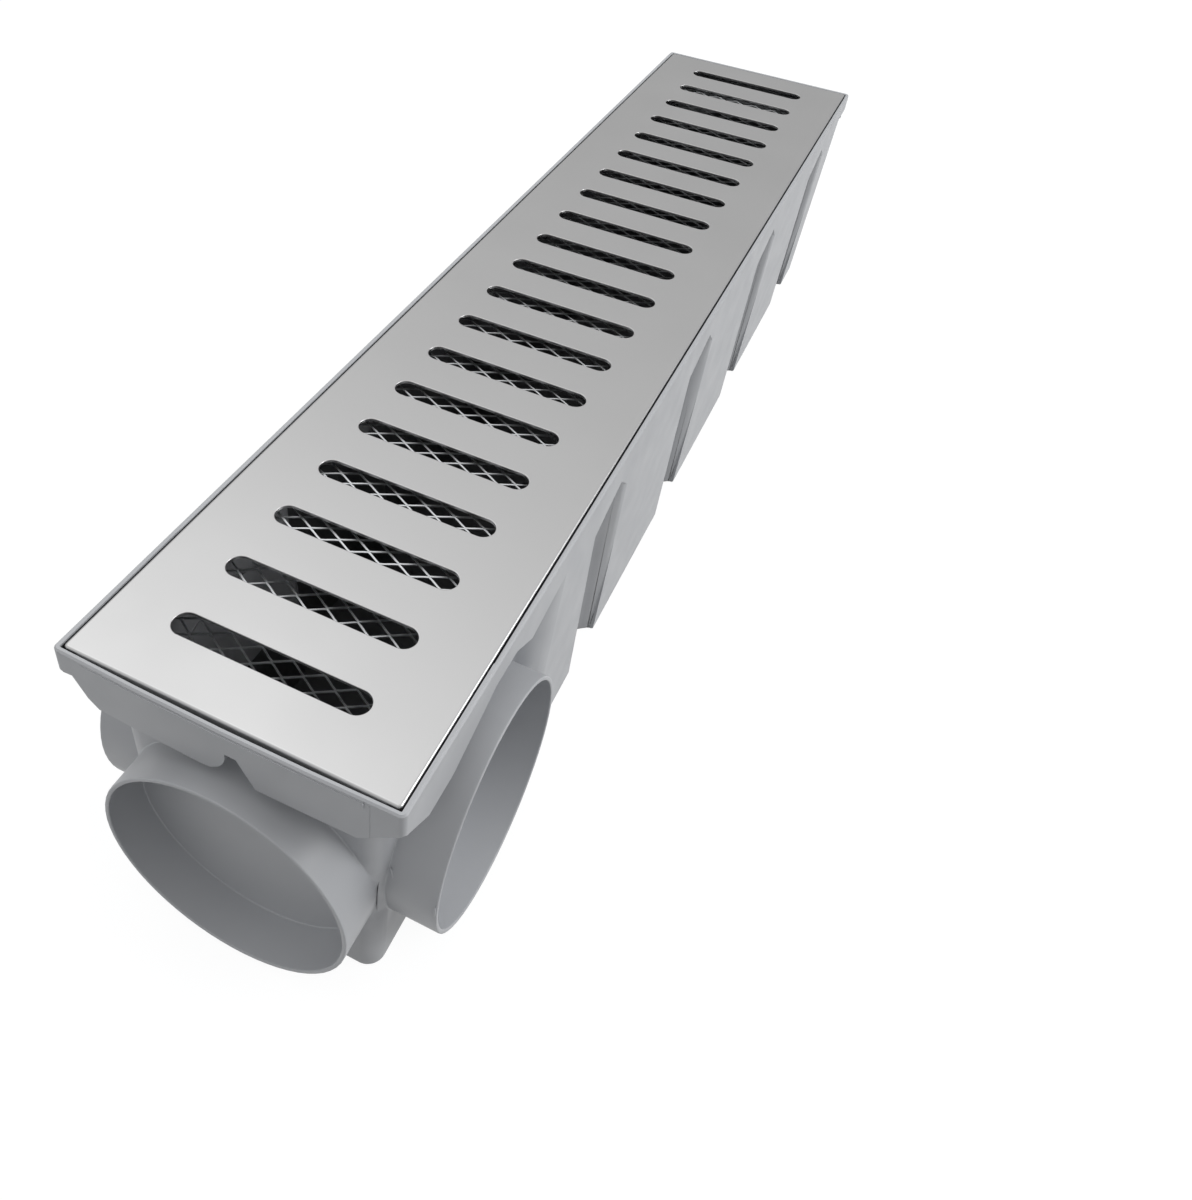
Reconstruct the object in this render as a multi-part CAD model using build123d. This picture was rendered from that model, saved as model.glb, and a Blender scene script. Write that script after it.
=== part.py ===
from build123d import *
import os
from math import atan, degrees, hypot

# A shower or yard channel drain: a moulded plastic trough with a round pipe
# socket on its near end, on both sides of its outlet chamber and on its far
# end, a diamond mesh screen, and a slotted stainless grate that lies flush
# in the rim. X runs across, Y along the trough, the outlet end is at -Y,
# and the origin is under the middle of the whole length. Millimetres.

# Rim of the trough
rim_length = 494.8
rim_width = 102.2
height = 102.0
lip_thickness = 1.5
lip_edge = 0.5
rim_corner = 1.8
near_bow = 0.8
shelf_thickness = 2.4
wall = 2.8

# Trough below the rim
draft_inset = 3.7
floor_thickness = 2.8
trough_start = 86.0
trough_corner = 13.0
step_round = 5.0
floor_edge = 0.6

# Outlet chamber, narrower than the trough
chamber_width = 79.0
chamber_setback = 7.8
chamber_lean = 1.8
chamber_corner = 5.5

# Pipe sockets, for a 75 mm pipe
bore_radius = 37.6
socket_wall = 1.4
socket_height = 42.0
membrane = 2.0
near_reach = 6.8
near_depth = 14.0
side_reach = 4.9
side_depth = 16.0
side_socket_from_rim = 50.3
far_reach = 16.8
far_depth = 20.0

# Scooped flutes in the long walls
flute_count = 4
flute_first = 151.0
flute_pitch = 98.6
flute_half = 17.0
flute_lean_run = 11.0
flute_depth = 8.0
flute_head_drop = 20.0
flute_peak_drop = 10.5
flute_peak_run = 5.5
flute_overshoot = 0.4

# Apron that hangs from the rim round the outlet chamber
apron_thickness = 2.2
apron_depth = 17.5
apron_notch_depth = 8.4
apron_notch_left = 1.8
apron_notch_right = 4.9
apron_notch_foot = 9.9
apron_lobe_run = 9.0
apron_corner_run = 13.0
apron_left_flat = 5.0
apron_left_step = 8.0
apron_left_drop = 5.0
apron_side_notch = 8.8
apron_side_rise = 24.0
apron_side_run = 13.0
apron_rear_depth = 15.0
apron_tail_depth = 10.5
lobe_half = 15.0
panel_proud = 0.3
panel_drop = 1.3
panel_margin = 9.0

# Gate mark under the floor
gate_from_rim = 236.0
gate_recess_radius = 6.5
gate_recess_depth = 1.5
gate_nub_radius = 3.4
gate_nub_height = 1.2

# Grate: a pressed sheet with its edges folded down
sheet = 1.2
grate_side_gap = 0.5
grate_end_gap = 0.4
grate_fold = 5.2
fold_round = 0.8
grate_corner = 1.2
slot_count = 20
slot_pitch = 23.7
slot_length = 59.4
slot_width = 7.8
slot_shift_x = -0.8
slot_shift_y = 0.45

# Screen of expanded metal, drawn coarser than the real 10 mm mesh
screen_thickness = 0.8
screen_gap = 0.3
screen_edge = 3.0
strand_width = 1.6
diamond_columns = 5
diamond_rows = 24

# How far a cutting tool runs on past what it cuts
margin = 1.0

# Places along the length and up the height
total_length = near_reach + rim_length + far_reach
near_mouth_y = -total_length / 2
rim_near_y = near_mouth_y + near_reach
rim_far_y = rim_near_y + rim_length
rim_middle_y = (rim_near_y + rim_far_y) / 2
far_mouth_y = rim_far_y + far_reach
ledge_depth = grate_fold + screen_thickness
ledge_z = height - ledge_depth
shelf_under_z = ledge_z - shelf_thickness
draft_angle = degrees(atan(draft_inset / shelf_under_z))
chamber_angle = degrees(atan(chamber_lean / shelf_under_z))
rebate_width = rim_width - 2 * lip_thickness
rebate_length = rim_length - 2 * lip_thickness
trough_near_y = rim_near_y + trough_start
chamber_near_y = rim_near_y + chamber_setback
side_socket_y = rim_near_y + side_socket_from_rim
side_mouth_x = rim_width / 2 + side_reach
socket_radius = bore_radius + socket_wall
apron_far_y = trough_near_y + trough_corner
wall_lean = draft_inset / shelf_under_z
flute_lean = flute_lean_run / (height - flute_head_drop)


def block(x_size, y_low, y_high, z_low, z_high):
    """A box centred on X between two places along Y and Z."""
    return Pos(0, (y_low + y_high) / 2, (z_low + z_high) / 2) * Box(
        x_size, y_high - y_low, z_high - z_low
    )


def drafted_block(half_width, y_low, y_high, corner, z_low, z_high, angle):
    """A block with round corners that widens upwards by the draft angle."""
    outline = RectangleRounded(2 * half_width, y_high - y_low, corner)
    floor = Pos(0, (y_low + y_high) / 2, z_low) * outline
    return extrude(floor, z_high - z_low, dir=(0, 0, 1), taper=-angle)


def trough_block(inset, z_low):
    """The long trough below the shelf, set in by a wall from its outside."""
    return drafted_block(
        rim_width / 2 - draft_inset - inset,
        trough_near_y + inset,
        rim_far_y - draft_inset - inset,
        trough_corner - inset,
        z_low,
        shelf_under_z,
        draft_angle,
    )


def chamber_block(inset, z_low):
    """The outlet chamber, run on into the trough so that the two join."""
    return drafted_block(
        chamber_width / 2 - inset,
        chamber_near_y + inset,
        apron_far_y + trough_corner,
        chamber_corner - inset,
        z_low,
        shelf_under_z,
        chamber_angle,
    )


def outer_wall_x(z):
    """Half the trough's outside width at a height."""
    return rim_width / 2 - draft_inset * (1 - z / shelf_under_z)


def flute_scoop(y, shift):
    """A flute's hollow: an S of two arcs on each side of its bottom, leaning to the near end."""
    upwards = Vector(wall_lean, -flute_lean, 1)
    foot = Vector(outer_wall_x(0) - shift - flute_depth, y, 0)
    section = Plane(origin=foot - upwards * flute_depth, x_dir=(1, 0, 0), z_dir=upwards)
    dip = flute_depth + flute_overshoot
    outside = dip + wall + shift
    curve = Line((outside, -flute_half), (outside, flute_half))
    for side in (-1, 1):
        tail = (dip, side * flute_half)
        bend = (dip / 2, side * flute_half / 2)
        curve = curve + Line((outside, tail[1]), tail)
        curve = curve + TangentArc(tail, bend, tangent=(0, -side))
        curve = curve + TangentArc((0, 0), bend, tangent=(0, side))
    rise = height - flute_peak_drop + 2 * flute_depth
    return extrude(section * make_face(curve), rise)


def flute_roof(y, shift):
    """The space under a flute's gable, whose ridge falls inwards from the peak."""
    head_z = height - flute_head_drop
    peak_z = height - flute_peak_drop
    near_y = y - flute_half - flute_lean_run
    far_y = y + flute_half - flute_lean_run
    x = outer_wall_x(peak_z) - shift
    gable = Polyline(
        (x, near_y, -height),
        (x, near_y, head_z),
        (x, y - flute_peak_run, peak_z),
        (x, far_y, head_z),
        (x, far_y + flute_lean_run, -height),
        close=True,
    )
    inwards = Vector(outer_wall_x(head_z) - flute_depth - outer_wall_x(peak_z), 0, head_z - peak_z)
    start = Pos(*(inwards * -1)) * make_face(gable)
    return extrude(start, 3 * inwards.length, dir=inwards.normalized())


def flute_cutters(shift):
    """Every flute on both long walls: scoops that lean as they rise, under a gable."""
    cutters = []
    for index in range(flute_count):
        y = rim_near_y + flute_first + index * flute_pitch
        cutter = flute_scoop(y, shift) & flute_roof(y, shift)
        cutters.append(cutter)
        cutters.append(mirror(cutter, about=Plane.YZ))
    return cutters


def end_apron_cut():
    """What is open below the lower edge of the apron across the near end."""
    foot = height - apron_depth
    top = height - apron_notch_depth
    edge = rim_width / 2
    low = foot - margin
    lobe = TangentArc(
        (apron_notch_left - apron_lobe_run, foot),
        (apron_notch_left, top),
        tangent=(1, 0),
    )
    outline = lobe + Polyline(
        (apron_notch_left - apron_lobe_run, foot),
        (-edge + apron_corner_run, foot),
        (-edge + apron_left_step, shelf_under_z - apron_left_drop),
        (-edge + apron_left_flat, shelf_under_z),
        (-edge, shelf_under_z),
        (-edge - margin, shelf_under_z),
        (-edge - margin, low),
        (edge + margin, low),
        (edge + margin, shelf_under_z),
        (edge, shelf_under_z),
        (edge - apron_corner_run, foot),
        (apron_notch_foot, foot),
        (apron_notch_right, top),
        (apron_notch_left, top),
    )
    face = make_face(Plane.XZ * outline)
    start = Pos(0, chamber_near_y, 0) * face
    return extrude(start, chamber_setback + near_bow + margin, dir=(0, -1, 0))


def side_apron_cut():
    """What is open below the wavy lower edge of the apron along the sides."""
    foot = height - apron_depth
    mid_y = side_socket_y
    low = foot - margin
    outline = Polyline(
        (rim_near_y - near_bow - margin, low),
        (rim_near_y - near_bow - margin, shelf_under_z),
        (rim_near_y, shelf_under_z),
        (rim_near_y + apron_corner_run, foot),
        (mid_y - apron_side_rise, foot),
        (mid_y, height - apron_side_notch),
        (mid_y + apron_side_run, height - apron_side_notch),
        (mid_y + apron_side_rise, height - apron_rear_depth),
        (apron_far_y, height - apron_tail_depth),
        (apron_far_y, low),
        close=True,
    )
    face = make_face(Plane.YZ * outline)
    start = Pos(-rim_width / 2 - margin, 0, 0) * face
    return extrude(start, rim_width + 2 * margin, dir=(1, 0, 0))


def bow_block(sagitta, z_low, z_high):
    """The slice by which the near end bulges out past a straight line."""
    half = rim_width / 2 - rim_corner
    arc = ThreePointArc((-half, rim_near_y), (0, rim_near_y - sagitta), (half, rim_near_y))
    outline = make_face(arc + Line((half, rim_near_y), (-half, rim_near_y)))
    return extrude(Pos(0, 0, z_low) * outline, z_high - z_low, dir=(0, 0, 1))


def apron():
    """The thin skirt round the chamber end, with its lower edge cut wavy."""
    foot = height - apron_depth
    depth = apron_far_y - rim_near_y
    middle = (rim_near_y + apron_far_y) / 2
    outline = Pos(0, middle, foot) * Rectangle(rim_width, depth)
    skirt = extrude(outline, shelf_under_z - foot + shelf_thickness / 2, dir=(0, 0, 1))
    upright = [e for e in skirt.edges().filter_by(Axis.Z) if e.center().Y < middle]
    skirt = fillet(upright, rim_corner)
    inner_width = rim_width - 2 * apron_thickness
    inner_y = rim_near_y + apron_thickness
    between = block(inner_width, rim_near_y - margin, apron_far_y + margin, foot - margin, height)
    near_zone = block(rim_width, rim_near_y, inner_y, foot, height)
    lobes = block(2 * lobe_half, rim_near_y, chamber_near_y + wall, foot, shelf_under_z)
    bow = bow_block(near_bow, foot, shelf_under_z)
    sides = skirt - between - side_apron_cut()
    near = (skirt & near_zone) + lobes + bow - end_apron_cut()
    return sides + near


def near_panel():
    """The slightly raised panel on the bowed face of the near end."""
    foot = height - apron_depth
    top = height - panel_drop
    bulge = bow_block(near_bow + panel_proud, foot, top)
    band = block(rim_width - 2 * panel_margin, rim_near_y - rim_width, rim_near_y, foot, top)
    return (bulge & band) - end_apron_cut()


def rim_frame():
    """The solid band that the rebate is cut from, its top edge broken."""
    band = drafted_block(
        rim_width / 2, rim_near_y, rim_far_y, rim_corner, shelf_under_z, height, 0
    )
    band = band + bow_block(near_bow, shelf_under_z, height)
    return chamfer(band.edges().group_by(Axis.Z)[-1], lip_edge)


def rebate():
    """The recess that the grate lies in, bowed at the near end like the rim."""
    straight = block(
        rebate_width,
        rim_near_y + lip_thickness,
        rim_far_y - lip_thickness,
        ledge_z,
        height + margin,
    )
    bow = Pos(0, lip_thickness, 0) * bow_block(near_bow, ledge_z, height + margin)
    sides = block(rebate_width, rim_near_y - rim_width, rim_far_y, ledge_z, height + margin)
    return straight + (bow & sides)


def pipe_socket(mouth, inward, depth, radius):
    """A round solid from a socket's mouth inwards."""
    return extrude(Plane(origin=mouth, z_dir=inward) * Circle(radius), depth)


def sockets():
    """Mouth, inward direction and depth of each pipe socket."""
    return [
        ((0, near_mouth_y, socket_height), (0, 1, 0), near_depth),
        ((side_mouth_x, side_socket_y, socket_height), (-1, 0, 0), side_depth),
        ((-side_mouth_x, side_socket_y, socket_height), (1, 0, 0), side_depth),
        ((0, far_mouth_y, socket_height), (0, -1, 0), far_depth),
    ]


def trough_cavity():
    """The inside of the trough, with the backs of the flutes left standing."""
    inside = trough_block(wall, floor_thickness)
    opening = block(
        2 * (outer_wall_x(shelf_under_z) - wall),
        trough_near_y + wall,
        rim_far_y - wall,
        shelf_under_z - margin,
        ledge_z + margin,
    )
    upright = opening.edges().filter_by(Axis.Z)
    inside = inside + fillet(upright, trough_corner - wall)
    return inside - flute_cutters(wall)


def chamber_cavity():
    """The inside of the outlet chamber, open at the top."""
    inside = chamber_block(wall, floor_thickness)
    half = chamber_width / 2 + chamber_lean - wall
    opening = drafted_block(
        half,
        chamber_near_y - chamber_lean + wall,
        apron_far_y + trough_corner,
        chamber_corner - wall,
        shelf_under_z - margin,
        ledge_z + margin,
        0,
    )
    return inside + opening


def gate_mark(part):
    """The round recess under the floor, with the gate's nub standing in it."""
    y = rim_near_y + gate_from_rim
    recess = Pos(0, y, gate_recess_depth / 2) * Cylinder(gate_recess_radius, gate_recess_depth)
    nub_z = gate_recess_depth - gate_nub_height / 2
    nub = Pos(0, y, nub_z) * Cylinder(gate_nub_radius, gate_nub_height)
    return part - recess + nub


def make_channel_body():
    """The trough, chamber, rim, apron and sockets, moulded in one piece."""
    lower = trough_block(0, 0) + chamber_block(0, 0)
    step_edges = [
        e
        for e in lower.edges()
        if abs(e.center().Y - trough_near_y) < step_round
        and e.bounding_box().size.Z > shelf_under_z / 2
    ]
    lower = fillet(step_edges, step_round)
    lower = chamfer(lower.edges().group_by(Axis.Z)[0], floor_edge)
    lower = lower - flute_cutters(0)
    body = lower + rim_frame() + apron() + near_panel()
    body = body - rebate()
    body = body - trough_cavity() - chamber_cavity()
    for mouth, inward, depth in sockets():
        body = body + pipe_socket(mouth, inward, depth + membrane, socket_radius)
    for mouth, inward, depth in sockets():
        body = body - pipe_socket(mouth, inward, depth, bore_radius)
    return gate_mark(body)


def make_grate_plate():
    """A sheet with its edges folded down and a row of cross slots."""
    width = rebate_width - 2 * grate_side_gap
    length = rebate_length - 2 * grate_end_gap
    foot = height - grate_fold
    outline = Pos(0, rim_middle_y, foot) * RectangleRounded(width, length, grate_corner)
    tray = extrude(outline, grate_fold, dir=(0, 0, 1))
    tray = fillet(tray.edges().group_by(Axis.Z)[-1], fold_round)
    inside = block(
        width - 2 * sheet,
        rim_middle_y - length / 2 + sheet,
        rim_middle_y + length / 2 - sheet,
        foot - margin,
        height - sheet,
    )
    plate = tray - inside
    first = rim_middle_y + slot_shift_y - slot_pitch * (slot_count - 1) / 2
    slots = []
    for index in range(slot_count):
        place = Pos(slot_shift_x, first + index * slot_pitch, height - sheet - margin)
        outline = place * SlotOverall(slot_length, slot_width)
        slots.append(extrude(outline, sheet + 2 * margin, dir=(0, 0, 1)))
    return plate - slots


def diamond(width, length):
    """One diamond opening of the mesh."""
    outline = Polyline(
        (-width / 2, 0), (0, -length / 2), (width / 2, 0), (0, length / 2), close=True
    )
    return make_face(outline)


def make_debris_screen():
    """A sheet of diamond mesh that lies on the ledge under the grate."""
    width = rebate_width - 2 * screen_gap
    length = rebate_length - 2 * screen_gap
    column_pitch = (width - 2 * screen_edge) / diamond_columns
    row_pitch = (length - 2 * screen_edge) / (diamond_rows + 1)
    sketch = Rectangle(width, length)
    side_distance = column_pitch / 2 * row_pitch / hypot(column_pitch / 2, row_pitch)
    open_share = 1 - strand_width / 2 / side_distance
    gap = diamond(column_pitch * open_share, 2 * row_pitch * open_share)
    gaps = []
    for row in range(diamond_rows):
        y = (row - (diamond_rows - 1) / 2) * row_pitch
        columns = diamond_columns - row % 2
        for column in range(columns):
            gaps.append(Pos((column - (columns - 1) / 2) * column_pitch, y) * gap)
    sheet_face = Pos(0, rim_middle_y, ledge_z) * (sketch - gaps)
    return extrude(sheet_face, screen_thickness, dir=(0, 0, 1))


parts = {
    "channel_body": make_channel_body(),
    "grate_plate": make_grate_plate(),
    "debris_screen": make_debris_screen(),
}

os.makedirs("parts", exist_ok=True)
for name, part in parts.items():
    part.label = name
    export_step(part, f"parts/{name}.step")
    box = part.bounding_box()
    print(name, len(part.solids()), "solid", round(part.volume), "mm3", box.min, box.max)
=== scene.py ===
"""The looks of a channel drain: moulded PVC trough, satin steel grate, expanded metal screen."""

import math

import bmesh
import bpy
import numpy as np
from bpy.props import FloatProperty, FloatVectorProperty, PointerProperty
from mathutils import Euler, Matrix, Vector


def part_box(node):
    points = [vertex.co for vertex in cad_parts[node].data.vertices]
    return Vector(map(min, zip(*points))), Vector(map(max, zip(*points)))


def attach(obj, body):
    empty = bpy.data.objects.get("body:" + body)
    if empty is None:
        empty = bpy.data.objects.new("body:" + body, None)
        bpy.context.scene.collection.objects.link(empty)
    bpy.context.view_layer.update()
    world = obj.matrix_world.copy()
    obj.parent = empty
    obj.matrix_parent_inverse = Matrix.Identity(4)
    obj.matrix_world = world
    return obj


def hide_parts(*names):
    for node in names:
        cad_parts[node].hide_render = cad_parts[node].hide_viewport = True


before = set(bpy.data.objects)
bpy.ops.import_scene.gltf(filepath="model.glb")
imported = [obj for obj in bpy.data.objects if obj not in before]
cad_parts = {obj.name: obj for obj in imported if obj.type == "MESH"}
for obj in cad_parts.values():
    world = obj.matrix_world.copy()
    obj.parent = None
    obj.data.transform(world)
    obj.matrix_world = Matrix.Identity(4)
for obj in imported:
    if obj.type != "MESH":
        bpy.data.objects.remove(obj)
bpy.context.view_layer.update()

bl_info = {
    "name": "Channel drain",
    "version": (1, 0, 0),
    "blender": (4, 5, 0),
    "location": "View3D > Sidebar > Drain",
    "description": "Builds the finished pieces of a channel drain around its packed solids",
    "category": "Object",
}

MM = 0.001

GRATE_LOW, GRATE_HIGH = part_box("grate_plate")
SCREEN_LOW, SCREEN_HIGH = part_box("debris_screen")
SLOTS = 20

# Corners of a CAD node within the first length are one corner, and corners within
# the second lie on a cut.
WELD_REACH = 0.01 * MM
CUT_REACH = 0.001 * MM

# Triangles that turn by less than the first angle are one flat face, and edges that
# turn by more than the second are rounded.
FLAT_ANGLE = math.radians(0.4)
EDGE_ANGLE = math.radians(32)
ROUND_SEGMENTS = 2

# Boxes that hold the faces inside the body that get painted shade, each as two corners in millimetres.
TROUGH_CORE = ((-37.4, -241.0, 2.5), (37.4, 237.5, 95.5))
GRATE_GAP = ((-50.4, -251.0, 95.5), (50.4, 240.6, 101.3))
TROUGH_WALLS = ((-48.9, -163.2, 2.6), (48.9, 237.5, 96.5))

# The camera's place in metres, its turn in degrees and its shift in picture widths.
CAMERA_PLACE = (0.113553, -0.375450, 0.329405)
CAMERA_TURN = (49.79400, -4.20484, 25.62620)
CAMERA_SHIFT = (0.08655, -0.12624)

# The soft lamp on the right, in metres.
LAMP_PLACE = (1.5, 0.55, 1.0)
LAMP_SIZE = 1.2


def linear(hex_colour):
    """Turns an sRGB hex colour into the linear numbers that a shader takes."""
    levels = [int(hex_colour[i : i + 2], 16) / 255 for i in (1, 3, 5)]
    return [v / 12.92 if v <= 0.04045 else ((v + 0.055) / 1.055) ** 2.4 for v in levels]


class DrainBodySettings(bpy.types.PropertyGroup):
    """Sizes and finish of the moulded body."""

    edge_round: FloatProperty(
        name="Edge rounding",
        description="Radius that the mould leaves on every edge",
        default=0.45 * MM,
        unit="LENGTH",
        precision=5,
    )
    chamber_y: FloatProperty(
        name="Chamber middle",
        description="Where the middle of the side sockets lies along the drain",
        default=-202.1 * MM,
        unit="LENGTH",
        precision=5,
    )
    colour: FloatVectorProperty(
        name="Plastic",
        description="Colour of the light grey PVC",
        default=linear("#BCBEC1"),
        subtype="COLOR",
    )
    shade: FloatVectorProperty(
        name="Flow shade",
        description="Slightly darker colour where the melt flowed together",
        default=linear("#B4B6BA"),
        subtype="COLOR",
    )
    # Painted shade: a dark colour laid on the walls inside the trough and in the gap round the grate, where
    # shadow falls.
    inside: FloatVectorProperty(
        name="Inside",
        description="Dull dark colour of the walls inside the trough",
        default=linear("#5A5B5D"),
        subtype="COLOR",
    )
    grain: FloatProperty(
        name="Mould grain",
        description="Size of the fine grain that the mould leaves",
        default=0.35 * MM,
        unit="LENGTH",
        precision=5,
    )


class DrainGrateSettings(bpy.types.PropertyGroup):
    """Sizes and finish of the slotted grate."""

    edge_round: FloatProperty(
        name="Punched edge",
        description="Radius that the punch rolls over on the rim of each slot",
        default=0.28 * MM,
        unit="LENGTH",
        precision=5,
    )
    colour: FloatVectorProperty(
        name="Steel",
        description="Colour of the satin stainless steel",
        default=linear("#CDCDCD"),
        subtype="COLOR",
    )
    slot_pitch: FloatProperty(
        name="Slot pitch",
        description="Distance from one slot to the next",
        default=23.7 * MM,
        unit="LENGTH",
        precision=5,
    )
    slot_offset: FloatProperty(
        name="Slot offset",
        description="How far the row of slots lies beyond the middle of the sheet",
        default=0.45 * MM,
        unit="LENGTH",
        precision=5,
    )
    brush: FloatProperty(
        name="Grinding lines",
        description="Spacing of the grinding lines along the sheet",
        default=0.4 * MM,
        unit="LENGTH",
        precision=5,
    )


class DrainScreenSettings(bpy.types.PropertyGroup):
    """Sizes and finish of the expanded metal screen."""

    diamond_across: FloatProperty(
        name="Diamond width",
        description="Distance between the knuckles across the channel",
        default=9.8 * MM,
        unit="LENGTH",
        precision=5,
    )
    diamond_along: FloatProperty(
        name="Diamond length",
        description="Distance between the knuckles along the channel",
        default=5.6 * MM,
        unit="LENGTH",
        precision=5,
    )
    strand_width: FloatProperty(
        name="Strand width",
        description="Width of one strand of the mesh",
        default=0.55 * MM,
        unit="LENGTH",
        precision=5,
    )
    strand_thickness: FloatProperty(
        name="Strand thickness",
        description="Thickness of the sheet that the mesh was cut from",
        default=0.4 * MM,
        unit="LENGTH",
        precision=5,
    )
    colour: FloatVectorProperty(
        name="Wire",
        description="Colour of the bright stainless strands",
        default=linear("#E6E8EA"),
        subtype="COLOR",
    )


class DrainStudioSettings(bpy.types.PropertyGroup):
    """Floor, light and camera."""

    floor_radius: FloatProperty(
        name="Floor",
        description="Radius of the pale floor",
        default=6.0,
        unit="LENGTH",
    )
    sky_low: FloatProperty(
        name="Light at the horizon",
        description="Strength of the soft light near the horizon",
        default=0.32,
    )
    sky_high: FloatProperty(
        name="Light overhead",
        description="Extra strength of the soft light straight above",
        default=0.56,
    )
    softbox: FloatProperty(
        name="Softbox",
        description="Strength of the soft light over the far left",
        default=0.94,
    )
    near_shade: FloatProperty(
        name="Near shade",
        description="How much darker the room is high up behind the camera",
        default=0.62,
    )
    left_fill: FloatProperty(
        name="Left fill",
        description="Strength of the fill light from the low left",
        default=0.4,
    )
    side_power: FloatProperty(
        name="Side lamp",
        description="Power of the soft lamp on the right, in watts",
        default=15.5,
    )
    lens: FloatProperty(
        name="Lens",
        description="Focal length of the camera in millimetres",
        default=33.345,
    )


def add_node(tree, kind, inputs=None, **settings):
    """Adds a node to a tree, sets its properties, and fills its sockets with values or links."""
    node = tree.nodes.new(kind)
    for name, value in settings.items():
        setattr(node, name, value)
    for name, value in (inputs or {}).items():
        socket = node.inputs[name]
        if isinstance(value, bpy.types.NodeSocket):
            tree.links.new(value, socket)
        else:
            socket.default_value = value
    return node


def new_tree(name):
    """A material of that name with an empty node tree."""
    material = bpy.data.materials.new(name)
    material.use_nodes = True
    material.node_tree.nodes.clear()
    return material, material.node_tree


def rgba(colour):
    """A colour with full alpha, as colour sockets want it."""
    return (*colour, 1.0)


def within(tree, place, low, high):
    """One inside the box between two corners given in millimetres, nought outside it."""
    middle = [(a + b) / 2 * MM for a, b in zip(low, high)]
    half = [(b - a) / 2 * MM for a, b in zip(low, high)]
    offset = add_node(tree, "ShaderNodeVectorMath", {0: place, 1: middle}, operation="SUBTRACT")
    share = add_node(tree, "ShaderNodeVectorMath", {0: offset.outputs["Vector"], 1: half}, operation="DIVIDE")
    size = add_node(tree, "ShaderNodeVectorMath", {0: share.outputs["Vector"]}, operation="ABSOLUTE")
    sides = add_node(tree, "ShaderNodeSeparateXYZ", {"Vector": size.outputs["Vector"]})
    x, y, z = sides.outputs["X"], sides.outputs["Y"], sides.outputs["Z"]
    wider = add_node(tree, "ShaderNodeMath", {0: x, 1: y}, operation="MAXIMUM").outputs["Value"]
    widest = add_node(tree, "ShaderNodeMath", {0: wider, 1: z}, operation="MAXIMUM").outputs["Value"]
    return add_node(tree, "ShaderNodeMath", {0: widest, 1: 1.0}, operation="LESS_THAN").outputs["Value"]


def painted_shade_mask(tree, place):
    """One on the faces inside the trough and in the gap round the grate, which get painted shade, nought
    outside.

    The core and the gap are plain boxes. The trough's own walls are the faces
    of a wider box that look at a line over the middle of the trough, and whose
    plane passes that line at more than a small distance.
    """
    line_height = 101 * MM
    least_distance = 2 * MM
    core = within(tree, place, *TROUGH_CORE)
    gap = within(tree, place, *GRATE_GAP)
    walls = within(tree, place, *TROUGH_WALLS)
    level = add_node(tree, "ShaderNodeVectorMath", {0: place, 1: (1, 0, 1)}, operation="MULTIPLY")
    from_line = add_node(
        tree,
        "ShaderNodeVectorMath",
        {0: level.outputs["Vector"], 1: (0, 0, -line_height)},
        operation="ADD",
    )
    normal = add_node(tree, "ShaderNodeNewGeometry").outputs["Normal"]
    away = add_node(
        tree,
        "ShaderNodeVectorMath",
        {0: from_line.outputs["Vector"], 1: normal},
        operation="DOT_PRODUCT",
    )
    inward = add_node(
        tree,
        "ShaderNodeMath",
        {0: away.outputs["Value"], 1: -least_distance},
        operation="LESS_THAN",
    )
    lining = add_node(tree, "ShaderNodeMath", {0: walls, 1: inward.outputs["Value"]}, operation="MULTIPLY")
    boxes = add_node(tree, "ShaderNodeMath", {0: core, 1: gap}, operation="MAXIMUM").outputs["Value"]
    hollow = add_node(tree, "ShaderNodeMath", {0: boxes, 1: lining.outputs["Value"]}, operation="MAXIMUM")
    return hollow.outputs["Value"]


def pvc_material(settings):
    """Unplasticised PVC, injection moulded and satin.

    The eye sees an even, slightly cool light grey with a soft sheen, faint
    clouds where the melt flowed, and a grain too fine to pick out.
    """
    cloud_size = 45 * MM
    patch_size = 12 * MM
    material, tree = new_tree("pvc_moulded_satin")
    place = add_node(tree, "ShaderNodeTexCoord").outputs["Object"]
    clouds = add_node(tree, "ShaderNodeTexNoise", {"Vector": place, "Scale": 1 / cloud_size, "Detail": 3.0})
    tint = add_node(
        tree,
        "ShaderNodeMix",
        {"Factor": clouds.outputs["Fac"], "A": rgba(settings.colour), "B": rgba(settings.shade)},
        data_type="RGBA",
    )
    # Painted shade: inside the trough and in the gap round the grate the plastic's colour gives way to the
    # dark inside colour.
    shown = add_node(
        tree,
        "ShaderNodeMix",
        {"Factor": painted_shade_mask(tree, place), "A": tint.outputs["Result"], "B": rgba(settings.inside)},
        data_type="RGBA",
    )
    patches = add_node(tree, "ShaderNodeTexNoise", {"Vector": place, "Scale": 1 / patch_size, "Detail": 4.0})
    gloss = add_node(
        tree,
        "ShaderNodeMapRange",
        {"Value": patches.outputs["Fac"], "From Min": 0.3, "From Max": 0.7, "To Min": 0.38, "To Max": 0.5},
    )
    grain = add_node(
        tree,
        "ShaderNodeTexNoise",
        {"Vector": place, "Scale": 1 / settings.grain, "Detail": 2.0},
    )
    relief = add_node(
        tree,
        "ShaderNodeBump",
        {"Height": grain.outputs["Fac"], "Strength": 0.06, "Distance": 0.05 * MM},
    )
    shader = add_node(
        tree,
        "ShaderNodeBsdfPrincipled",
        {
            "Base Color": shown.outputs["Result"],
            "Roughness": gloss.outputs["Result"],
            "Normal": relief.outputs["Normal"],
            "IOR": 1.53,
        },
    )
    add_node(tree, "ShaderNodeOutputMaterial", {"Surface": shader.outputs["BSDF"]})
    return material


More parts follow.
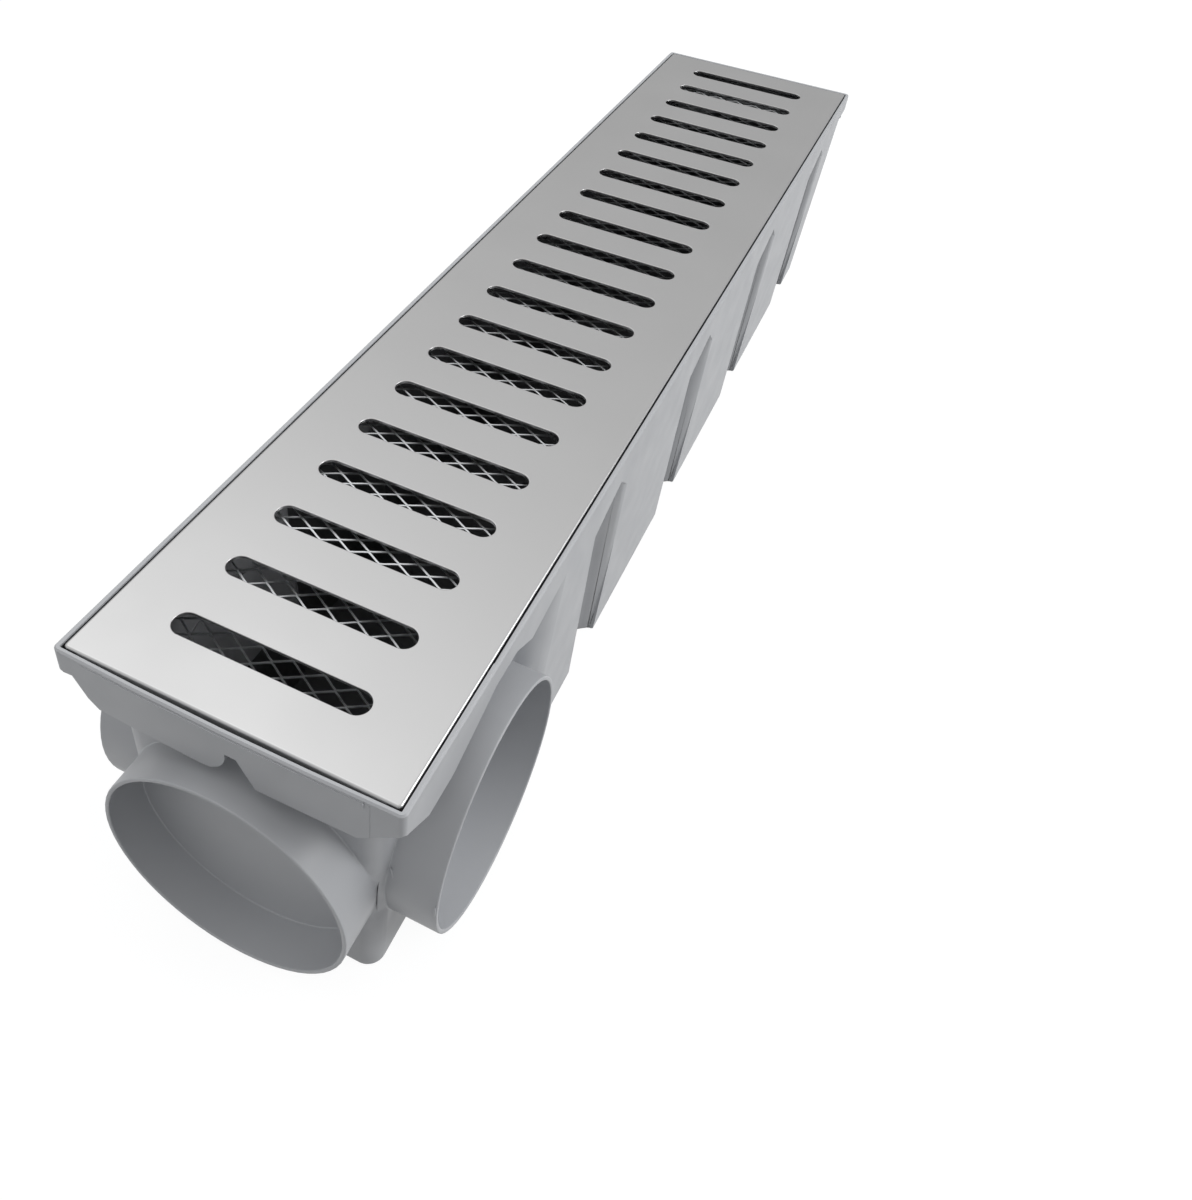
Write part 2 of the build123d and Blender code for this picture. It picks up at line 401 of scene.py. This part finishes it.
def steel_material(settings):
    """Stainless steel sheet, ground along its length and then satin finished.

    The eye sees a bright, blurred reflection that fades along the sheet, drawn
    out by the grinding lines. Real ones are too fine to show in a render, so
    they are drawn as coarse as they need to.
    """
    line_length = 60 * MM
    smear_size = 35 * MM
    material, tree = new_tree("stainless_sheet_satin")
    place = add_node(tree, "ShaderNodeTexCoord").outputs["Object"]
    stretch = add_node(
        tree,
        "ShaderNodeMapping",
        {"Vector": place, "Scale": (1 / settings.brush, 1 / line_length, 1 / settings.brush)},
    )
    lines = add_node(
        tree,
        "ShaderNodeTexNoise",
        {"Vector": stretch.outputs["Vector"], "Scale": 1.0, "Detail": 3.0},
    )
    smears = add_node(tree, "ShaderNodeTexNoise", {"Vector": place, "Scale": 1 / smear_size, "Detail": 3.0})
    gloss = add_node(
        tree,
        "ShaderNodeMapRange",
        {"Value": smears.outputs["Fac"], "From Min": 0.3, "From Max": 0.7, "To Min": 0.29, "To Max": 0.35},
    )
    relief = add_node(
        tree,
        "ShaderNodeBump",
        {"Height": lines.outputs["Fac"], "Strength": 0.04, "Distance": 0.02 * MM},
    )
    shader = add_node(
        tree,
        "ShaderNodeBsdfPrincipled",
        {
            "Base Color": rgba(settings.colour),
            "Metallic": 1.0,
            "Roughness": gloss.outputs["Result"],
            "Normal": relief.outputs["Normal"],
        },
    )
    add_node(tree, "ShaderNodeOutputMaterial", {"Surface": shader.outputs["BSDF"]})
    return material


def wire_material(settings):
    """Bright stainless expanded metal, cut and stretched from thin sheet.

    The eye sees thin silvery strands that flash where they face the light and
    dull where the cut left them rough.
    """
    spot_size = 3 * MM
    material, tree = new_tree("stainless_expanded_bright")
    place = add_node(tree, "ShaderNodeTexCoord").outputs["Object"]
    spots = add_node(tree, "ShaderNodeTexNoise", {"Vector": place, "Scale": 1 / spot_size, "Detail": 2.0})
    gloss = add_node(
        tree,
        "ShaderNodeMapRange",
        {"Value": spots.outputs["Fac"], "From Min": 0.3, "From Max": 0.7, "To Min": 0.3, "To Max": 0.5},
    )
    shader = add_node(
        tree,
        "ShaderNodeBsdfPrincipled",
        {"Base Color": rgba(settings.colour), "Metallic": 1.0, "Roughness": gloss.outputs["Result"]},
    )
    add_node(tree, "ShaderNodeOutputMaterial", {"Surface": shader.outputs["BSDF"]})
    return material


def new_piece(name, vertices, faces):
    """Puts computed points and faces into a mesh object of that name."""
    mesh = bpy.data.meshes.new(name)
    mesh.from_pydata(vertices, [], faces)
    mesh.update()
    piece = bpy.data.objects.new(name, mesh)
    bpy.context.scene.collection.objects.link(piece)
    return piece


def merged_copy(node, name, cuts_x, cuts_y):
    """A copy of a CAD node, its loose triangles joined where their corners meet.

    Corners at the same place become one, and triangles that lie in one plane
    become one face. A cut at a given x or y keeps the faces on its two sides
    apart, so that no face has to reach round a hole.
    """
    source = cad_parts[node].data
    corners = np.empty(len(source.vertices) * 3, np.float32)
    source.vertices.foreach_get("co", corners)
    corners = corners.reshape(-1, 3)
    source.calc_loop_triangles()
    triangles = np.empty(len(source.loop_triangles) * 3, np.int32)
    source.loop_triangles.foreach_get("vertices", triangles)
    cells = np.round(corners / WELD_REACH).astype(np.int64)
    _, first, same = np.unique(cells, axis=0, return_index=True, return_inverse=True)
    joined = same.reshape(-1)[triangles].reshape(-1, 3)
    whole = np.all(joined != np.roll(joined, -1, axis=1), axis=1)
    piece = new_piece(name, corners[first].tolist(), joined[whole].tolist())
    work = bmesh.new()
    work.from_mesh(piece.data)
    planes = [((x, 0, 0), (1, 0, 0)) for x in cuts_x] + [((0, y, 0), (0, 1, 0)) for y in cuts_y]
    for place, across in planes:
        everything = [*work.verts, *work.edges, *work.faces]
        halves = bmesh.ops.bisect_plane(
            work,
            geom=everything,
            dist=CUT_REACH,
            plane_co=place,
            plane_no=across,
        )
        for crossed in halves["geom_cut"]:
            if isinstance(crossed, bmesh.types.BMEdge):
                crossed.seam = True
    bmesh.ops.dissolve_limit(
        work,
        angle_limit=FLAT_ANGLE,
        verts=work.verts,
        edges=work.edges,
        delimit={"SEAM"},
    )
    work.to_mesh(piece.data)
    work.free()
    return piece


def room_beside(edge):
    """How far a rounding can reach from an edge before it meets another corner of its faces.

    A side that runs on from the edge almost straight takes no room, so one whose
    corner has a small sine isn't counted.
    """
    almost_straight = 0.35
    room = math.inf
    for loop in edge.link_loops:
        after = loop.link_loop_next
        for corner, side in ((loop, loop.link_loop_prev.edge), (after, after.edge)):
            slant = math.sin(corner.calc_angle())
            if slant > almost_straight:
                room = min(room, side.calc_length() * slant)
    return room


def soften(piece, width):
    """Rounds the edges that turn sharply, but none beside a face too narrow for it.

    Facets that turn less are shaded as one surface, save where one of them is so
    much broader than the other that it is a flat face beside a fillet. It keeps
    its own normal, unless the two hardly turn at all.
    """
    hardly_turns = math.radians(2)
    times_broader = 40
    room_needed = 2.2 * width
    work = bmesh.new()
    work.from_mesh(piece.data)
    weight = work.edges.layers.float.new("bevel_weight_edge")
    for face in work.faces:
        face.smooth = True
    for edge in work.edges:
        if not edge.is_manifold:
            continue
        turn = edge.calc_face_angle()
        areas = sorted(face.calc_area() for face in edge.link_faces)
        alike = areas[1] < times_broader * areas[0]
        edge.smooth = turn < hardly_turns or (turn < EDGE_ANGLE and alike)
        if turn > EDGE_ANGLE and room_beside(edge) > room_needed:
            edge[weight] = 1.0
            edge.smooth = True
    work.to_mesh(piece.data)
    work.free()
    rounding = piece.modifiers.new("edge_rounding", "BEVEL")
    rounding.width = width
    rounding.segments = ROUND_SEGMENTS
    rounding.limit_method = "WEIGHT"
    rounding.use_clamp_overlap = False
    rounding.harden_normals = True


def bar_faces(bars, rings, corners):
    """Faces of closed bars, whose points come bar by bar, ring by ring and corner by corner.

    Each face of a wall takes two neighbouring corners of a ring and the same two
    of the next ring. The first ring, turned round, and the last ring close a bar.
    """
    index = np.arange(bars * rings * corners).reshape(bars, rings, corners)
    near = index[:, :-1]
    far = index[:, 1:]
    walls = np.stack([near, np.roll(near, -1, axis=2), np.roll(far, -1, axis=2), far], axis=-1)
    ends = np.concatenate([index[:, 0, ::-1], index[:, -1]])
    return walls.reshape(-1, 4).tolist() + ends.tolist()


def burrs():
    """Points and faces of the small burrs that the mould left on the body.

    Each is a spindle round the line between its two ends: at the share t of the
    line its radius is its own radius times the square root of 1 - (2t - 1)^2.
    The share stops just short of both ends, where a small flat face closes it.
    """
    rings = 9
    corners = 12
    start = np.array([(40.4, -252.95, 101.1), (41.1, -240.1, 53.0), (55.35, -241.1, 46.5)]) * MM
    end = np.array([(40.5, -253.05, 99.3), (42.9, -239.9, 45.5), (55.35, -241.2, 41.0)]) * MM
    radius = np.array([0.3, 0.45, 0.35]) * MM
    share = np.linspace(0.03, 0.97, rings)
    turn = np.linspace(0, 2 * np.pi, corners, endpoint=False)
    axis = (end - start) / np.linalg.norm(end - start, axis=1)[:, None]
    side = np.cross(axis, (0.0, 1.0, 0.0))
    side = side / np.linalg.norm(side, axis=1)[:, None]
    other = np.cross(axis, side)
    middle = start[:, None] + share[None, :, None] * (end - start)[:, None]
    swell = radius[:, None] * np.sqrt(1 - (2 * share[None, :] - 1) ** 2)
    around = side[:, None] * np.cos(turn)[None, :, None] + other[:, None] * np.sin(turn)[None, :, None]
    points = middle[:, :, None] + swell[:, :, None, None] * around[:, None]
    return points.reshape(-1, 3), bar_faces(len(start), rings, corners)


def add_shapes(piece, points, faces):
    """Adds computed points and faces to a piece's mesh."""
    work = bmesh.new()
    work.from_mesh(piece.data)
    extra = bpy.data.meshes.new("extra")
    extra.from_pydata(points.tolist(), [], faces)
    work.from_mesh(extra)
    work.to_mesh(piece.data)
    work.free()
    bpy.data.meshes.remove(extra)


def expanded_metal(settings):
    """The screen's points and faces.

    Strand k runs across the channel and zigzags along it: its middle line is
    y = k * p + (-1)^k * a * w(x), where p is half a diamond's length, a is half
    of p and w is a triangle wave that goes from -1 to 1 in half a diamond's
    width, with its corners flattened where two strands share a knuckle. Each
    strand is a four sided bar carried along that line.
    """
    steps_per_wave = 4
    corner_stretch = 1.12
    knuckle_room = 0.3 * settings.strand_width
    across = SCREEN_HIGH.x - SCREEN_LOW.x
    along = SCREEN_HIGH.y - SCREEN_LOW.y
    half_wave = settings.diamond_across / 2
    pitch = settings.diamond_along / 2
    strands = int(along / pitch) - 1
    waves = int(across / half_wave)
    steps = steps_per_wave * waves + 1
    x = np.linspace(-waves * half_wave / 2, waves * half_wave / 2, steps)
    phase = np.arange(steps) / steps_per_wave
    zigzag = np.clip(corner_stretch * (1 - 2 * np.abs((phase % 2) - 1)), -1, 1)
    k = np.arange(strands)
    sign = np.where(k % 2 == 0, 1.0, -1.0)
    first = (SCREEN_LOW.y + SCREEN_HIGH.y) / 2 - (strands - 1) / 2 * pitch
    reach = pitch / 2 - knuckle_room
    y = first + k[:, None] * pitch + sign[:, None] * reach * zigzag[None, :]
    middle = (SCREEN_LOW.z + SCREEN_HIGH.z) / 2
    xs = np.broadcast_to(x, (strands, steps))
    z = middle + screen_sag(xs, y)
    corner = np.array([(-0.5, -0.5), (0.5, -0.5), (0.5, 0.5), (-0.5, 0.5)])
    slope = np.gradient(y, axis=1) / np.gradient(x)[None, :]
    wide = settings.strand_width * np.sqrt(1 + slope**2)
    ring_y = y[:, :, None] + corner[None, None, :, 0] * wide[:, :, None]
    ring_z = z[:, :, None] + corner[None, None, :, 1] * settings.strand_thickness
    ring_x = np.broadcast_to(xs[:, :, None], ring_y.shape)
    points = np.stack([ring_x, ring_y, ring_z], axis=-1).reshape(-1, 3)
    return points, bar_faces(strands, steps, len(corner))


def screen_sag(x, y):
    """How far the thin mesh lies above its ledge.

    Between its two long edges it arches up as one minus the fourth power of x
    over half the width. The height of the arch falls off smoothly near the
    outlet chamber, where the mesh hangs low, and evenly along a part of the
    trough. One wave near the far end, a bell curve in y, lifts it again.
    """
    hang_end, hang_length = 64 * MM, 52 * MM
    slope_start, slope_length = 190 * MM, 110 * MM
    wave_place, wave_width = 449 * MM, 11 * MM
    half = (SCREEN_HIGH.x - SCREEN_LOW.x) / 2
    arch = 1 - (x / half) ** 4
    run = y - SCREEN_LOW.y
    nearness = np.clip((hang_end - run) / hang_length, 0, 1)
    hang = nearness**2 * (3 - 2 * nearness)
    slope = np.clip((run - slope_start) / slope_length, 0, 1)
    wave = np.exp(-(((run - wave_place) / wave_width) ** 2))
    # Heights over the middle of the channel, in millimetres.
    top, hang_depth, slope_depth, wave_height = 2.7, 8.4, 1.9, 2.9
    height = top - hang_depth * hang - slope_depth * slope + wave_height * wave
    return height * MM * arch


class OBJECT_OT_drain_body(bpy.types.Operator):
    """Build the moulded body with rounded edges and its PVC"""

    bl_idname = "object.drain_body"
    bl_label = "Moulded body"

    def execute(self, context):
        settings = context.scene.drain_body
        cuts_y = [settings.chamber_y, 0.0]
        piece = merged_copy("channel_body", "moulded_body", cuts_x=[0.0], cuts_y=cuts_y)
        add_shapes(piece, *burrs())
        soften(piece, settings.edge_round)
        piece.data.materials.append(pvc_material(settings))
        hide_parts("channel_body")
        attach(piece, "root")
        return {"FINISHED"}


class OBJECT_OT_drain_grate(bpy.types.Operator):
    """Build the slotted steel grate with rolled punched edges"""

    bl_idname = "object.drain_grate"
    bl_label = "Slotted grate"

    def execute(self, context):
        settings = context.scene.drain_grate
        middle = (GRATE_LOW.y + GRATE_HIGH.y) / 2 + settings.slot_offset
        slots = middle + settings.slot_pitch * (np.arange(SLOTS) - (SLOTS - 1) / 2)
        piece = merged_copy("grate_plate", "slotted_grate", cuts_x=[], cuts_y=slots.tolist())
        soften(piece, settings.edge_round)
        piece.data.materials.append(steel_material(settings))
        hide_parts("grate_plate")
        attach(piece, "root")
        return {"FINISHED"}


class OBJECT_OT_drain_screen(bpy.types.Operator):
    """Build the expanded metal screen strand by strand"""

    bl_idname = "object.drain_screen"
    bl_label = "Expanded metal screen"

    def execute(self, context):
        settings = context.scene.drain_screen
        points, faces = expanded_metal(settings)
        piece = new_piece("expanded_screen", points.tolist(), faces)
        piece.data.materials.append(wire_material(settings))
        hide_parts("debris_screen")
        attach(piece, "root")
        return {"FINISHED"}


def floor_material():
    """A matt floor that shows white to the eye and in a mirror, and keeps the drain's soft shadow.

    To light that comes by any other way it is a plain dark grey paint.
    """
    white_glow = 0.93
    material, tree = new_tree("studio_floor_matt")
    path = add_node(tree, "ShaderNodeLightPath")
    mirrored = add_node(
        tree,
        "ShaderNodeMath",
        {0: path.outputs["Is Camera Ray"], 1: path.outputs["Is Glossy Ray"]},
        operation="MAXIMUM",
    )
    seen = add_node(
        tree,
        "ShaderNodeMath",
        {0: mirrored.outputs["Value"], 1: path.outputs["Is Transmission Ray"]},
        operation="MAXIMUM",
    )
    place = add_node(tree, "ShaderNodeTexCoord").outputs["Object"]
    mottle = add_node(tree, "ShaderNodeTexNoise", {"Vector": place, "Scale": 3.0})
    tint = add_node(
        tree,
        "ShaderNodeMix",
        {"Factor": mottle.outputs["Fac"], "A": rgba(linear("#5E5F60")), "B": rgba(linear("#636465"))},
        data_type="RGBA",
    )
    paint = add_node(tree, "ShaderNodeBsdfDiffuse", {"Color": tint.outputs["Result"]})
    glow = add_node(tree, "ShaderNodeEmission", {"Color": (1, 1, 1, 1), "Strength": white_glow})
    both = add_node(tree, "ShaderNodeAddShader", {0: paint.outputs["BSDF"], 1: glow.outputs["Emission"]})
    shown = add_node(
        tree,
        "ShaderNodeMixShader",
        {"Fac": seen.outputs["Value"], 1: paint.outputs["BSDF"], 2: both.outputs["Shader"]},
    )
    add_node(tree, "ShaderNodeOutputMaterial", {"Surface": shown.outputs["Shader"]})
    return material


def soft_dome(settings):
    """The world's light, for a direction d of length one with height z.

    Above the horizon it rises evenly with z. A soft light over the far left adds
    a high power of the part of d that points to it. The side behind the camera
    loses a share of -y times z, so it is darker higher up. A fill from the low
    left adds the square of the part of d that points to it.
    """
    softbox_way, softbox_power = (-0.45, 0.28, 0.85), 22.0
    fill_way, fill_power = (-0.75, -0.65, 0.12), 2.0
    world = bpy.data.worlds.new("soft_dome")
    world.use_nodes = True
    tree = world.node_tree
    tree.nodes.clear()
    direction = add_node(tree, "ShaderNodeTexCoord").outputs["Generated"]
    parts = add_node(tree, "ShaderNodeSeparateXYZ", {"Vector": direction})
    height = add_node(tree, "ShaderNodeMath", {0: parts.outputs["Z"], 1: 0.0}, operation="MAXIMUM")
    even = add_node(
        tree,
        "ShaderNodeMath",
        {0: height.outputs["Value"], 1: settings.sky_high, 2: settings.sky_low},
        operation="MULTIPLY_ADD",
    )
    toward = add_node(tree, "ShaderNodeVectorMath", {0: direction, 1: softbox_way}, operation="DOT_PRODUCT")
    facing = add_node(tree, "ShaderNodeMath", {0: toward.outputs["Value"], 1: 0.0}, operation="MAXIMUM")
    patch = add_node(
        tree,
        "ShaderNodeMath",
        {0: facing.outputs["Value"], 1: softbox_power},
        operation="POWER",
    )
    with_patch = add_node(
        tree,
        "ShaderNodeMath",
        {0: patch.outputs["Value"], 1: settings.softbox, 2: even.outputs["Value"]},
        operation="MULTIPLY_ADD",
    )
    near = add_node(tree, "ShaderNodeMath", {0: parts.outputs["Y"], 1: 0.0}, operation="MINIMUM")
    shade = add_node(
        tree,
        "ShaderNodeMath",
        {0: near.outputs["Value"], 1: height.outputs["Value"]},
        operation="MULTIPLY",
    )
    level = add_node(
        tree,
        "ShaderNodeMath",
        {0: shade.outputs["Value"], 1: settings.near_shade, 2: with_patch.outputs["Value"]},
        operation="MULTIPLY_ADD",
    )
    leftward = add_node(tree, "ShaderNodeVectorMath", {0: direction, 1: fill_way}, operation="DOT_PRODUCT")
    lit = add_node(tree, "ShaderNodeMath", {0: leftward.outputs["Value"], 1: 0.0}, operation="MAXIMUM")
    fill = add_node(tree, "ShaderNodeMath", {0: lit.outputs["Value"], 1: fill_power}, operation="POWER")
    total = add_node(
        tree,
        "ShaderNodeMath",
        {0: fill.outputs["Value"], 1: settings.left_fill, 2: level.outputs["Value"]},
        operation="MULTIPLY_ADD",
    )
    light = add_node(
        tree,
        "ShaderNodeBackground",
        {"Color": (1, 1, 1, 1), "Strength": total.outputs["Value"]},
    )
    add_node(tree, "ShaderNodeOutputWorld", {"Surface": light.outputs["Background"]})
    return world


class SCENE_OT_drain_studio(bpy.types.Operator):
    """Lay the pale floor, set the soft light and aim the camera"""

    bl_idname = "scene.drain_studio"
    bl_label = "Studio"

    def execute(self, context):
        scene = context.scene
        settings = scene.drain_studio
        rim_corners = 96
        turn = np.linspace(0, 2 * math.pi, rim_corners, endpoint=False)
        rim = np.stack([np.cos(turn), np.sin(turn), np.zeros_like(turn)], axis=1) * settings.floor_radius
        floor = new_piece("studio_floor", rim.tolist(), [list(range(rim_corners))])
        floor.data.materials.append(floor_material())
        scene.world = soft_dome(settings)
        lamp = bpy.data.lights.new("side_softbox", "AREA")
        lamp.size = LAMP_SIZE
        lamp.energy = settings.side_power
        holder = bpy.data.objects.new("side_softbox", lamp)
        holder.location = LAMP_PLACE
        holder.rotation_euler = (-holder.location).to_track_quat("-Z", "Y").to_euler()
        scene.collection.objects.link(holder)
        lens = bpy.data.cameras.new("photo_camera")
        lens.lens = settings.lens
        lens.sensor_width = 36.0
        lens.shift_x, lens.shift_y = CAMERA_SHIFT
        lens.clip_start = 0.01
        camera = bpy.data.objects.new("photo_camera", lens)
        camera.location = CAMERA_PLACE
        camera.rotation_euler = Euler([math.radians(angle) for angle in CAMERA_TURN])
        scene.collection.objects.link(camera)
        scene.camera = camera
        scene.view_settings.view_transform = "Standard"
        return {"FINISHED"}


class VIEW3D_PT_channel_drain(bpy.types.Panel):
    """The drain's pieces and their sizes"""

    bl_label = "Channel drain"
    bl_space_type = "VIEW_3D"
    bl_region_type = "UI"
    bl_category = "Drain"

    def draw(self, context):
        for settings, operator in PANEL_ROWS:
            group = getattr(context.scene, settings)
            box = self.layout.box()
            for name in group.bl_rna.properties.keys():
                if name not in ("rna_type", "name"):
                    box.prop(group, name)
            box.operator(operator)


PANEL_ROWS = (
    ("drain_body", "object.drain_body"),
    ("drain_grate", "object.drain_grate"),
    ("drain_screen", "object.drain_screen"),
    ("drain_studio", "scene.drain_studio"),
)

SETTINGS = {
    "drain_body": DrainBodySettings,
    "drain_grate": DrainGrateSettings,
    "drain_screen": DrainScreenSettings,
    "drain_studio": DrainStudioSettings,
}

CLASSES = (
    *SETTINGS.values(),
    OBJECT_OT_drain_body,
    OBJECT_OT_drain_grate,
    OBJECT_OT_drain_screen,
    SCENE_OT_drain_studio,
    VIEW3D_PT_channel_drain,
)


def register():
    """Registers the classes and hangs the settings on the scene."""
    for kind in CLASSES:
        bpy.utils.register_class(kind)
    for name, kind in SETTINGS.items():
        setattr(bpy.types.Scene, name, PointerProperty(type=kind))


def unregister():
    """Takes the settings and the classes away again."""
    for name in SETTINGS:
        delattr(bpy.types.Scene, name)
    for kind in reversed(CLASSES):
        bpy.utils.unregister_class(kind)


def main():
    """Registers the add-on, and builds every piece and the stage."""
    register()
    bpy.ops.object.drain_body()
    bpy.ops.object.drain_grate()
    bpy.ops.object.drain_screen()
    bpy.ops.scene.drain_studio()


if __name__ == "__main__":
    main()
